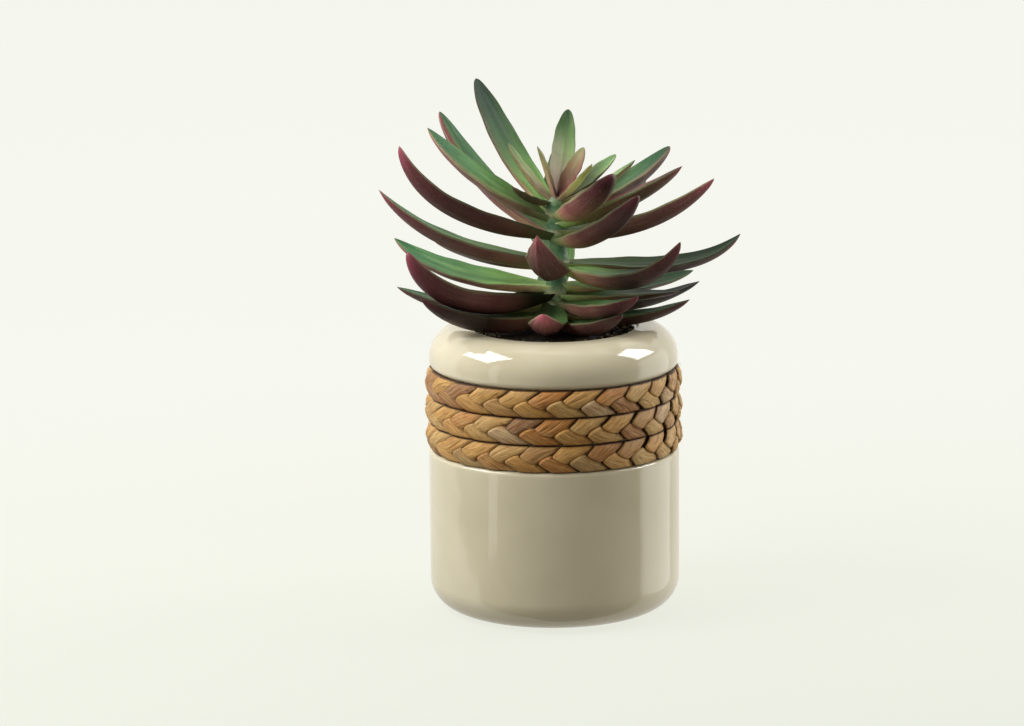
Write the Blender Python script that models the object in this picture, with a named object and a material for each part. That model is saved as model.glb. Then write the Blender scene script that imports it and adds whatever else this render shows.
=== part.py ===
"""Potted echeveria: a glazed pot with three plaited bands round its waist, a planting mix and one plant.

All sizes are in millimetres and are scaled to metres where a mesh is made. +Z is up, and the origin is the
middle of the pot's flat foot. Azimuth 0 is the front (-Y), 90 the right (+X) and 180 the back (+Y).
"""
import math

import bpy
from mathutils import Vector

MM = 0.001
GAP = 0.3                   # clearance between touching pieces

# Pot
BODY_RADIUS = 62.5
FOOT_ROUND = 15.0
WALL = 5.0
WAIST_RADIUS = 59.2
WAIST_BOTTOM = 81.1
WAIST_TOP = 122.1
WAIST_EDGE_ROUND = 2.0      # rounded edge of the body just under the plaits
SHOULDER_RADIUS = 61.9
SHOULDER_LOW_ROUND = 4.5
SHOULDER_ROUND = 15.0
POT_TOP = 142.4
MOUTH_RADIUS = 39.5
MOUTH_ROUND = 3.0
POT_SEGMENTS = 40

# Planting mix and moss
MIX_SEGMENTS = 24
MIX_EDGE_HEIGHT = 138.6
MIX_CROWN_HEIGHT = 140.2
MIX_CROWN_RADIUS = 14.0
MOSS_RADIUS = 33.0
MOSS_TUBE = 2.6
MOSS_AROUND = 32
MOSS_SIDES = 6

# Plaits
PLAIT_COUNT = 3
STRANDS_PER_PLAIT = 3
PLAIT_PERIODS = 8           # full crossings round the pot
PLAIT_STEPS = 12            # sections in one period
PLAIT_SWING = 4.2           # how far a strand swings up and down
PLAIT_WEAVE = 1.5           # how far a strand swings in and out
STRAND_WIDTH = 5.0
STRAND_SPREAD = 1.0         # how much wider a strand is where it lies on top
STRAND_TILT = 12.0          # degrees that a strand leans, one edge out, as it swings
STRAND_THICK = 2.0
PLAIT_RADIUS = WAIST_RADIUS + GAP + PLAIT_WEAVE + STRAND_THICK / 2 + 0.1
PLAIT_JOIN_GAP = 0.012      # radians left open where a strand's two ends meet at the back
PLAIT_TURNS = (-2.0, 4.0, 0.0)    # degrees that each plait is turned round the pot, lowest first

# Stem: height, sideways lean and radius
STEM_COURSE = [
    (112.0, 0.0, 3.2), (118.0, 0.0, 3.8), (140.0, 0.0, 4.0), (144.0, 0.1, 4.8), (157.0, 1.0, 5.0),
    (164.0, 1.4, 4.9), (167.0, 1.8, 4.2), (170.0, 2.2, 4.3), (173.0, 2.6, 4.9), (177.0, 2.9, 4.8),
    (180.0, 2.9, 4.0), (184.0, 2.6, 4.2), (187.0, 2.4, 4.9), (192.0, 2.0, 4.8), (199.0, 1.6, 4.8),
    (203.0, 1.4, 4.4),
]
STEM_SIDES = 16
CROWN_CENTRE = (1.4, 0.0, 203.0)
CROWN_RADIUS = 4.4

# Leaves
LEAF_SECTIONS = 9
LEAF_FOOT_WIDTH = 4.0
LEAF_FOOT_DEPTH = 2.7
YOUNG_FOOT_WIDTH = 2.6
YOUNG_FOOT_DEPTH = 1.8
LEAF_SHOULDER = 0.42        # where along its length a leaf reaches its full width
LEAF_DEEPEST = 0.3          # where along its length a leaf is deepest
LEAF_TIP_FULLNESS = 2.5     # higher is a blunter tip
LEAF_CHANNEL = 0.16         # depth of the channel on the upper side, as a share of the half width

# name: azimuth, height on the stem, length, width, depth, rise at the foot, rise at the tip, bend, roll
LEAVES = {
    # low tier, over the rim
    "leaf_rim_left": (262, 153, 76, 15, 6.0, -13, 24, 1.0, 0),
    "leaf_rim_front_left": (300, 148, 73, 17, 8.5, -9, 34, 1.0, 0),
    "leaf_rim_front": (352, 153, 41, 19, 6.0, -46, 56, 1.0, 0),
    "leaf_rim_front_right": (42, 145, 47, 16, 6.5, -8, 33, 1.0, 0),
    "leaf_rim_right": (80, 149, 65, 15, 5.5, -14, 29, 1.0, 0),
    "leaf_rim_right_back": (103, 153, 71, 14, 5.0, -11, 24, 1.0, 0),
    "leaf_rim_back_right": (140, 150, 62, 14, 5.0, -5, 8, 1.0, 0),
    "leaf_rim_back": (184, 154, 58, 14, 5.0, -9, 20, 1.0, 0),
    "leaf_rim_back_left": (224, 150, 64, 14, 5.0, -4, 4, 1.0, 0),
    # second tier
    "leaf_skirt_left": (262, 162, 81, 16, 6.0, 2, 42, 1.7, -18),
    "leaf_skirt_front_left": (297, 158, 87, 20, 9.0, -4, 72, 2.0, 16),
    "leaf_skirt_front_right": (51, 154.5, 49, 16, 7.5, -11, 32, 1.0, 0),
    "leaf_skirt_right": (88, 157.5, 57, 14, 4.0, -3, 7, 1.0, 0),
    "leaf_skirt_right_back": (120, 162, 76, 15, 4.5, -13, 13, 1.0, 16),
    "leaf_skirt_back": (174, 162, 60, 14, 5.0, 12, 46, 1.0, 0),
    "leaf_skirt_back_left": (228, 159, 52, 14, 5.0, -2, 14, 1.0, 0),
    # third tier, the widest
    "leaf_outer_left": (275, 175, 94, 14.5, 6.5, 6, 50, 1.4, 0),
    "leaf_outer_front": (346, 172, 47, 23, 7.0, -6, 70, 1.0, 0),
    "leaf_outer_front_right": (56, 172, 75, 17, 8.0, -12, 62, 1.6, 0),
    "leaf_outer_right": (100, 173, 91, 15, 6.0, -5, 47, 3.0, 10),
    "leaf_outer_back_right": (144, 173, 62, 14, 5.0, -12, -7, 1.0, 0),
    "leaf_outer_back": (194, 177, 66, 15, 5.5, 0, 44, 1.0, 0),
    "leaf_outer_back_left": (232, 173, 76, 15, 5.0, -6, 12, 1.0, 0),
    # fourth tier
    "leaf_middle_left": (288, 189, 94, 17.5, 7.5, 13, 74, 2.1, 10),
    "leaf_middle_back_left": (237, 189, 87, 17, 6.0, 20, 61, 1.0, 0),
    "leaf_middle_front_right": (37, 186, 68, 17, 7.5, 7, 47, 1.0, 0),
    "leaf_middle_right": (73, 190, 83, 15.5, 6.5, -1, 44, 1.0, -15),
    "leaf_middle_back_right": (134, 189, 62, 15, 5.5, 4, 34, 1.0, 0),
    "leaf_middle_back": (180, 188, 58, 15, 5.5, 8, 44, 1.0, 0),
    # fifth tier
    "leaf_upper_left": (258, 198, 74, 15, 6.0, 19, 51, 1.0, -15),
    "leaf_upper_back_left": (224, 202, 79, 18, 6.0, 34, 63, 1.0, 0),
    "leaf_upper_back": (176, 198, 46, 14, 5.0, 30, 52, 1.0, 0),
    "leaf_upper_back_right": (116, 199, 66, 19, 6.5, 9, 43, 1.0, 0),
    "leaf_upper_right": (80, 195, 65, 15, 6.5, 16, 37, 1.0, 0),
    "leaf_upper_front_right": (40, 199, 46, 20, 8.0, 12, 55, 1.0, 0),
}

# Young leaves on the crown
# name: azimuth, length, width, depth, rise at the foot, rise at the tip, roll
YOUNG_LEAVES = {
    "leaf_young_centre": (167, 48, 12, 4.0, 50, 62, 0),
    "leaf_young_left": (248, 34, 8, 2.6, 42, 60, 0),
    "leaf_young_upright": (262, 26, 6, 2.0, 80, 64, 0),
    "leaf_young_back_right": (108, 27, 9, 2.4, 60, 64, 35),
    "leaf_young_right": (66, 25, 8, 2.2, 44, 52, 0),
    "leaf_young_front_left": (292, 21, 9, 3.0, 14, 42, 0),
    "leaf_young_long_right": (94, 41, 10, 3.0, 18, 42, 0),
    "leaf_young_far_right": (132, 41, 11, 3.2, 22, 33, 0),
}

POT_COLOUR = (0.72, 0.66, 0.53)
MIX_COLOUR = (0.035, 0.026, 0.018)
MOSS_COLOUR = (0.30, 0.24, 0.06)
STEM_COLOUR = (0.10, 0.20, 0.09)
LEAF_COLOUR = (0.11, 0.21, 0.12)
YOUNG_COLOUR = (0.32, 0.34, 0.18)
STRAND_COLOURS = [(0.44, 0.27, 0.12), (0.30, 0.17, 0.09), (0.36, 0.24, 0.16)]


def clear_scene():
    for old in list(bpy.data.objects):
        bpy.data.objects.remove(old, do_unlink=True)


def make_material(name, colour, roughness):
    material = bpy.data.materials.new(name)
    material.use_nodes = True
    shader = material.node_tree.nodes["Principled BSDF"]
    shader.inputs["Base Color"].default_value = (*colour, 1.0)
    shader.inputs["Roughness"].default_value = roughness
    shader.inputs["Metallic"].default_value = 0.0
    return material


def add_mesh(name, points, faces, material):
    """Make one object from points in millimetres."""
    mesh = bpy.data.meshes.new(name)
    mesh.from_pydata([Vector(p) * MM for p in points], [], faces)
    mesh.validate()
    mesh.materials.append(material)
    mesh.shade_smooth()
    mesh.set_sharp_from_angle(angle=math.radians(40))
    bpy.context.scene.collection.objects.link(bpy.data.objects.new(name, mesh))


def arc(centre, radius, start, end, steps):
    """Points of an arc in the (radius, height) plane, with angles in degrees."""
    points = []
    for i in range(steps + 1):
        angle = math.radians(start + (end - start) * i / steps)
        points.append((centre[0] + radius * math.cos(angle), centre[1] + radius * math.sin(angle)))
    return points


def turned(name, profile, segments, material):
    """Turn a profile that starts and ends on the axis, bottom to top on its outer side."""
    points = [(0.0, 0.0, profile[0][1])]
    inner = profile[1:-1]
    for radius, height in inner:
        for i in range(segments):
            angle = 2 * math.pi * i / segments
            points.append((radius * math.cos(angle), radius * math.sin(angle), height))
    points.append((0.0, 0.0, profile[-1][1]))
    last = len(points) - 1
    faces = []
    for i in range(segments):
        j = (i + 1) % segments
        faces.append((0, 1 + j, 1 + i))
        for row in range(len(inner) - 1):
            low = 1 + row * segments
            high = low + segments
            faces.append((low + i, low + j, high + j, high + i))
        top = 1 + (len(inner) - 1) * segments
        faces.append((top + i, top + j, last))
    add_mesh(name, points, faces, material)


def middle_of(ring):
    return sum((Vector(p) for p in ring), Vector()) / len(ring)


def tube(name, rings, first_end, last_end, material):
    """Skin rings of equal length and close each end with a fan round the point given for it."""
    sides = len(rings[0])
    points = [p for ring in rings for p in ring] + [first_end, last_end]
    first = len(points) - 2
    last = len(points) - 1
    end = (len(rings) - 1) * sides
    faces = []
    for i in range(sides):
        j = (i + 1) % sides
        faces.append((first, j, i))
        for low in range(0, end, sides):
            high = low + sides
            faces.append((low + i, low + j, high + j, high + i))
        faces.append((last, end + i, end + j))
    add_mesh(name, points, faces, material)


def pot_inside(clearance):
    """The pot's inner face, from the floor's middle up to the throat, drawn in by a clearance."""
    wall = WALL + clearance
    floor = [(0.0, wall)]
    foot = arc((BODY_RADIUS - FOOT_ROUND, FOOT_ROUND), FOOT_ROUND - wall, -90, 0, 3)
    waist = WAIST_RADIUS - wall
    waist_in = [(BODY_RADIUS - wall, WAIST_BOTTOM - WALL), (waist, WAIST_BOTTOM), (waist, WAIST_TOP)]
    roof = arc((SHOULDER_RADIUS - SHOULDER_ROUND, POT_TOP - SHOULDER_ROUND), SHOULDER_ROUND - wall, 20, 75, 3)
    return floor + foot + waist_in + roof


def make_pot(material):
    foot = [(0.0, 0.0)] + arc((BODY_RADIUS - FOOT_ROUND, FOOT_ROUND), FOOT_ROUND, -90, 0, 6)
    edge = arc((BODY_RADIUS - WAIST_EDGE_ROUND, WAIST_BOTTOM - WAIST_EDGE_ROUND), WAIST_EDGE_ROUND, 0, 90, 2)
    waist = [(WAIST_RADIUS, WAIST_BOTTOM), (WAIST_RADIUS, WAIST_TOP)]
    low = arc((SHOULDER_RADIUS - SHOULDER_LOW_ROUND, WAIST_TOP + SHOULDER_LOW_ROUND),
              SHOULDER_LOW_ROUND, -90, -10, 3)
    shoulder = arc((SHOULDER_RADIUS - SHOULDER_ROUND, POT_TOP - SHOULDER_ROUND), SHOULDER_ROUND, 0, 90, 6)
    mouth = arc((MOUTH_RADIUS + MOUTH_ROUND, POT_TOP - MOUTH_ROUND), MOUTH_ROUND, 90, 180, 3)
    inside = pot_inside(0.0)
    inside.reverse()
    turned("pot", foot + edge + waist + low + shoulder + mouth + inside, POT_SEGMENTS, material)


def make_mix(material):
    """The planting mix: it fills the pot, is crowned at the top and has a socket for the stem."""
    outside = pot_inside(GAP)
    throat = [(MOUTH_RADIUS - GAP, outside[-1][1]), (MOUTH_RADIUS - GAP, MIX_EDGE_HEIGHT)]
    crown = [(MOSS_RADIUS - 2 * MOSS_TUBE, MIX_EDGE_HEIGHT), (MIX_CROWN_RADIUS, MIX_CROWN_HEIGHT)]
    socket_radius = STEM_COURSE[2][2] + GAP
    socket_floor = STEM_COURSE[0][0] - GAP
    socket = [(socket_radius, MIX_CROWN_HEIGHT), (socket_radius, socket_floor), (0.0, socket_floor)]
    turned("planting_mix", outside + throat + crown + socket, MIX_SEGMENTS, material)


def make_moss(material):
    """A low uneven cushion of moss round the mouth, lying on the mix."""
    middle = MIX_EDGE_HEIGHT + GAP + MOSS_TUBE / 2
    points = []
    faces = []
    for i in range(MOSS_AROUND):
        angle = 2 * math.pi * i / MOSS_AROUND
        size = MOSS_TUBE * (0.86 + 0.14 * math.sin(5 * angle + 0.6) * math.cos(3 * angle))
        here = i * MOSS_SIDES
        after = (i + 1) % MOSS_AROUND * MOSS_SIDES
        for k in range(MOSS_SIDES):
            turn = 2 * math.pi * k / MOSS_SIDES
            radius = MOSS_RADIUS + size * math.cos(turn)
            height = middle + size / 2 * math.sin(turn)
            points.append((radius * math.cos(angle), radius * math.sin(angle), height))
            m = (k + 1) % MOSS_SIDES
            faces.append((here + k, after + k, after + m, here + m))
    add_mesh("moss", points, faces, material)


def strand_rings(plait, strand):
    """Sections of one flat strand: it swings up and down once and in and out twice in each period."""
    band = (WAIST_TOP - WAIST_BOTTOM) / PLAIT_COUNT
    middle = WAIST_BOTTOM + band * (plait + 0.5)
    steps = PLAIT_PERIODS * PLAIT_STEPS
    turn = PLAIT_PERIODS * math.radians(PLAIT_TURNS[plait])
    first_phase = turn + 2 * math.pi * strand / STRANDS_PER_PLAIT
    rings = []
    for i in range(steps + 1):
        along = PLAIT_JOIN_GAP / 2 + (2 * math.pi - PLAIT_JOIN_GAP) * i / steps
        angle = math.pi / 2 + along
        phase = first_phase - PLAIT_PERIODS * along
        lift = PLAIT_SWING * math.cos(phase)
        out = PLAIT_RADIUS + PLAIT_WEAVE * math.sin(2 * phase)
        half = (STRAND_WIDTH + STRAND_SPREAD * max(0.0, math.sin(2 * phase))) / 2
        tilt = math.radians(STRAND_TILT) * math.sin(phase)
        ring = []
        for across, thick in ((-half, 0), (0, -STRAND_THICK / 2), (half, 0), (0, STRAND_THICK / 2)):
            radius = out + across * math.sin(tilt) + thick * math.cos(tilt)
            height = middle + lift + across * math.cos(tilt) - thick * math.sin(tilt)
            ring.append((radius * math.cos(angle), radius * math.sin(angle), height))
        rings.append(ring)
    return rings


def stem_at(height):
    """The stem's sideways lean and radius at a height."""
    for (z0, x0, r0), (z1, x1, r1) in zip(STEM_COURSE, STEM_COURSE[1:]):
        if height <= z1:
            share = max(0.0, (height - z0) / (z1 - z0))
            return x0 + (x1 - x0) * share, r0 + (r1 - r0) * share
    return STEM_COURSE[-1][1:]


def make_strand(name, plait, strand, material):
    rings = strand_rings(plait, strand)
    tube(name, rings, middle_of(rings[0]), middle_of(rings[-1]), material)


def make_stem(material):
    """The stem, with a rounded crown on top that the young leaves stand on."""
    rings = []
    levels = list(STEM_COURSE)
    for rise in (25, 50, 72):
        angle = math.radians(rise)
        levels.append((CROWN_CENTRE[2] + CROWN_RADIUS * math.sin(angle), CROWN_CENTRE[0],
                       CROWN_RADIUS * math.cos(angle)))
    for height, lean, radius in levels:
        ring = []
        for i in range(STEM_SIDES):
            angle = 2 * math.pi * i / STEM_SIDES
            ring.append((lean + radius * math.cos(angle), radius * math.sin(angle), height))
        rings.append(ring)
    tube("stem", rings, middle_of(rings[0]), middle_of(rings[-1]), material)


def leaf_frame(azimuth, rise, roll):
    """Unit vectors along a leaf, across it and up out of its upper side."""
    a = math.radians(azimuth)
    e = math.radians(rise)
    along = Vector((math.sin(a) * math.cos(e), -math.cos(a) * math.cos(e), math.sin(e)))
    up = Vector((-math.sin(a) * math.sin(e), math.cos(a) * math.sin(e), math.cos(e)))
    across = along.cross(up)
    turn = math.radians(roll)
    up_rolled = up * math.cos(turn) + across * math.sin(turn)
    across_rolled = across * math.cos(turn) - up * math.sin(turn)
    return along, across_rolled, up_rolled


def leaf_half_width(share, width, foot):
    """Half the width at a share of the length, widening to the shoulder and then closing to the tip."""
    if share < LEAF_SHOULDER:
        return foot + (width / 2 - foot) * math.sin(math.pi / 2 * share / LEAF_SHOULDER)
    return width / 2 * (1 - ((share - LEAF_SHOULDER) / (1 - LEAF_SHOULDER)) ** LEAF_TIP_FULLNESS)


def leaf_depth(share, depth, foot):
    """The depth at a share of the length, thickening to its deepest and then thinning to the tip."""
    if share < LEAF_DEEPEST:
        return foot + (depth - foot) * math.sin(math.pi / 2 * share / LEAF_DEEPEST)
    return depth * (1 - ((share - LEAF_DEEPEST) / (1 - LEAF_DEEPEST)) ** LEAF_TIP_FULLNESS)


def leaf_section(centre, across, up, half, depth):
    """Eight points: two edges, a channelled upper side and a keeled underside."""
    channel = LEAF_CHANNEL * half
    shape = ((-1, 0), (-0.5, -0.75 * channel), (0, -channel), (0.5, -0.75 * channel), (1, 0),
             (0.6, -0.74 * depth), (0, -depth), (-0.6, -0.74 * depth))
    return [centre + across * (half * s) + up * n for s, n in shape]


def leaf_rings(start, azimuth, size, course, foot):
    """Sections of a leaf from its start on the stem, and its tip.

    size is length, width and depth; course is the rise at the foot, the rise at the tip, the bend and the
    roll; foot is the width and depth where the leaf meets the stem.
    """
    length, width, depth = size
    rise_foot, rise_tip, bend, roll = course
    rings = []
    centre = start.copy()
    for i in range(LEAF_SECTIONS):
        share = i / LEAF_SECTIONS
        rise = rise_foot + (rise_tip - rise_foot) * share ** bend
        along, across, up = leaf_frame(azimuth, rise, roll * min(1.0, share * 3))
        half = leaf_half_width(share, width, foot[0] / 2)
        deep = leaf_depth(share, depth, foot[1])
        rings.append(leaf_section(centre + up * (deep * 0.4), across, up, half, deep))
        rise_between = rise_foot + (rise_tip - rise_foot) * ((i + 0.5) / LEAF_SECTIONS) ** bend
        centre = centre + leaf_frame(azimuth, rise_between, 0)[0] * (length / LEAF_SECTIONS)
    return rings, centre


def seat_on_stem(point):
    """Move a point level with itself to just off the stem."""
    lean, radius = stem_at(point.z)
    flat = Vector((point.x - lean, point.y, 0)).normalized() * (radius + GAP)
    return Vector((lean + flat.x, flat.y, point.z))


def seat_on_crown(point):
    """Move a point to just off the rounded crown."""
    centre = Vector(CROWN_CENTRE)
    return centre + (point - centre).normalized() * (CROWN_RADIUS + GAP)


def make_leaf(name, row, material):
    azimuth, height = row[:2]
    lean, radius = stem_at(height)
    a = math.radians(azimuth)
    start = Vector((lean + (radius + GAP) * math.sin(a), -(radius + GAP) * math.cos(a), height))
    rings, tip = leaf_rings(start, azimuth, row[2:5], row[5:], (LEAF_FOOT_WIDTH, LEAF_FOOT_DEPTH))
    rings[0] = [seat_on_stem(p) for p in rings[0]]
    tube(name, rings, seat_on_stem(middle_of(rings[0])), tip, material)


def make_young_leaf(name, row, material):
    azimuth, length, width, depth, rise_foot, rise_tip, roll = row
    start = Vector(CROWN_CENTRE) + leaf_frame(azimuth, rise_foot, 0)[0] * (CROWN_RADIUS + GAP)
    rings, tip = leaf_rings(start, azimuth, (length, width, depth), (rise_foot, rise_tip, 1.0, roll),
                            (YOUNG_FOOT_WIDTH, YOUNG_FOOT_DEPTH))
    rings[0] = [seat_on_crown(p) for p in rings[0]]
    tube(name, rings, seat_on_crown(middle_of(rings[0])), tip, material)


def build():
    clear_scene()
    make_pot(make_material("glaze", POT_COLOUR, 0.12))
    make_mix(make_material("planting_mix", MIX_COLOUR, 0.95))
    make_moss(make_material("moss", MOSS_COLOUR, 0.9))
    for plait in range(PLAIT_COUNT):
        for strand in range(STRANDS_PER_PLAIT):
            name = f"plait_{plait + 1}_strand_{strand + 1}"
            make_strand(name, plait, strand, make_material(name, STRAND_COLOURS[strand], 0.75))
    make_stem(make_material("stem", STEM_COLOUR, 0.55))
    for name, row in LEAVES.items():
        make_leaf(name, row, make_material(name, LEAF_COLOUR, 0.5))
    for name, row in YOUNG_LEAVES.items():
        make_young_leaf(name, row, make_material(name, YOUNG_COLOUR, 0.5))


build()
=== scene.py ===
"""Looks of the potted echeveria: leaves, glazed pot, plaited bands, planting mix, light and camera.

Shapes are in millimetres and are scaled to metres where a mesh is made. Azimuth 0 is the front
(-Y), 90 the right (+X) and 180 the back (+Y). The leaves' sizes and angles are the part's own.
"""

import random
from math import copysign, cos, exp, pi, radians, remainder, sin, sqrt, tanh

import bmesh
import bpy
import numpy as np
from mathutils import Matrix, Vector


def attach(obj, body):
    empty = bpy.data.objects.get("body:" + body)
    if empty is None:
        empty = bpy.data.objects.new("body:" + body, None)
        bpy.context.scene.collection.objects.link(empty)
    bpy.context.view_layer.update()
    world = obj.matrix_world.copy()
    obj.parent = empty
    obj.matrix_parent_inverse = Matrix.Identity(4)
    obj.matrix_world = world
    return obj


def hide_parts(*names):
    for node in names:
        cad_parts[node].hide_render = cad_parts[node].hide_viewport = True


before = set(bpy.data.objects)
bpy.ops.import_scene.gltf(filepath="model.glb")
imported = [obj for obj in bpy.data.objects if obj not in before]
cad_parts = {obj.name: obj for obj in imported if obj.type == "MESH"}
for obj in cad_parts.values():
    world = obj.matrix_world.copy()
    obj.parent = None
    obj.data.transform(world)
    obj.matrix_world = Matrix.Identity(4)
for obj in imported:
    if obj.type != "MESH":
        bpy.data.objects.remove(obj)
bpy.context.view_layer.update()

MM = 0.001

# Pot
BODY_RADIUS = 62.5
FOOT_ROUND = 15.0
FOOT_HOLLOW_RADIUS = 44.0   # the foot is hollowed a little inside this radius
WALL = 5.0
WAIST_RADIUS = 59.2
WAIST_BOTTOM = 81.1
WAIST_TOP = 122.1
WAIST_EDGE_ROUND = 2.0
SHOULDER_RADIUS = 61.9
SHOULDER_LOW_ROUND = 3.2
SHOULDER_ROUND = 15.0
POT_TOP = 142.4
MOUTH_RADIUS = 39.5
MOUTH_ROUND = 3.0
POT_AROUND = 176

# Planting mix and moss
MIX_HEIGHT = 139.4
MIX_CROWN = 0.8
MIX_BOTTOM = 128.0
MIX_RINGS = 34
MIX_AROUND = 120
CRUMBS = 260

# Plaits
PLAITS = 3
STRANDS = 3
BAND = (WAIST_TOP - WAIST_BOTTOM) / PLAITS
LOBES = 24                  # lobes in the upper row of one plait, and as many in the lower
LOBE_PITCH = 2 * pi * 63.0 / LOBES
LOBE_REACH = 2.3            # how far a lobe's end reaches past the middle line
LOBE_LENGTH = 19.0
LOBE_THICK = 1.5
LOBE_DOME = 0.95
LOBE_BULGE = 1.5            # how round a lobe's end is
LOBE_RADIUS = 63.1          # radius of a lobe's middle layer at its left end
LOBE_FALL = 0.115           # how fast a lobe dips to the right
LOBE_SPLITS = 4             # long splits in one lobe
LOBE_DIP = 0.9              # how far a lobe sinks where its neighbours lie over it
LOBE_STEPS = 36
LOBE_LANES = 48
LOBE_TURN = (-0.9, 6.6, 3.0)    # degrees from the front to the first lobe, lowest plait first
LENGTH_RADIUS = 62.0        # radius at which a lobe's length is laid round the pot
BAND_DROP = 1.6             # how far a band's two edges fall away inwards
BACKING_RADIUS = 60.3
BACKING_EDGE_RADIUS = 60.0
# the third value is painted shade, darkening the fibre at its flanks, beside and under the lobes
# over it, at its nose, on its back and at the band's edges
STRAND_VALUES = ("run", "lane", "painted_shade", "seed", "tone")
FRAYS = 40
FRAY_RINGS = 7

# Tones of the lobes: gold, straw, orange, tan, brown, olive grey, mauve, dark and pale
TONES = "gsotbymdp"
OTHER_TONES = "gggsssottbymdg"
TONE_COLOURS = {
    "g": (220, 168, 92), "s": (222, 182, 114), "o": (210, 142, 72), "t": (208, 162, 102),
    "b": (178, 124, 72), "y": (196, 162, 104), "m": (180, 132, 90), "d": (134, 88, 54),
    "p": (226, 194, 148),
}
FRONT_FIRST = 8             # how many lobes before the first one the lists below begin
FRONT_TONES = (
    "gygtsgtogybgtsgssg",
    "osspdoogssgbtsptss",
    "mggtggosgpobssspts",
)

# Stem: height, sideways lean and radius
STEM_COURSE = [
    (136.0, 0.0, 4.0), (140.0, 0.0, 4.0), (144.0, 0.1, 4.8), (157.0, 1.0, 5.0),
    (164.0, 1.4, 4.9), (167.0, 1.8, 4.2), (170.0, 2.2, 4.3), (173.0, 2.6, 4.9), (177.0, 2.9, 4.8),
    (180.0, 2.9, 4.0), (184.0, 2.6, 4.2), (187.0, 2.4, 4.9), (192.0, 2.0, 4.8), (199.0, 1.6, 4.8),
    (203.0, 1.4, 4.4),
]
STEM_BOTTOM = 136.0
STEM_LEVELS = 110
STEM_AROUND = 48
TIERS = (148.0, 153.5, 159.5, 174.0, 189.0, 198.5)      # heights at which leaves clasp the stem
CROWN_CENTRE = (1.4, 0.0, 203.0)
CROWN_RADIUS = 4.4

# Leaves
LEAF_SHOULDER = 0.42
LEAF_DEEPEST = 0.3
LEAF_CHANNEL = 0.16
LEAF_FALL = 2.5             # how late a leaf narrows towards its tip
LEAF_KEEL = 0.1
LEAF_FOOT = (5.0, 4.0, 4.6)     # half width and depth at the foot, and its reach into the stem
YOUNG_FOOT = (2.4, 1.7, 3.0)
LEAF_STEPS = 46
LEAF_RING = 44
# light carries each leaf's painted light and shade
LEAF_VALUES = ("along", "across", "upper", "wine", "fresh", "blush", "hem", "seed", "light")
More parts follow.
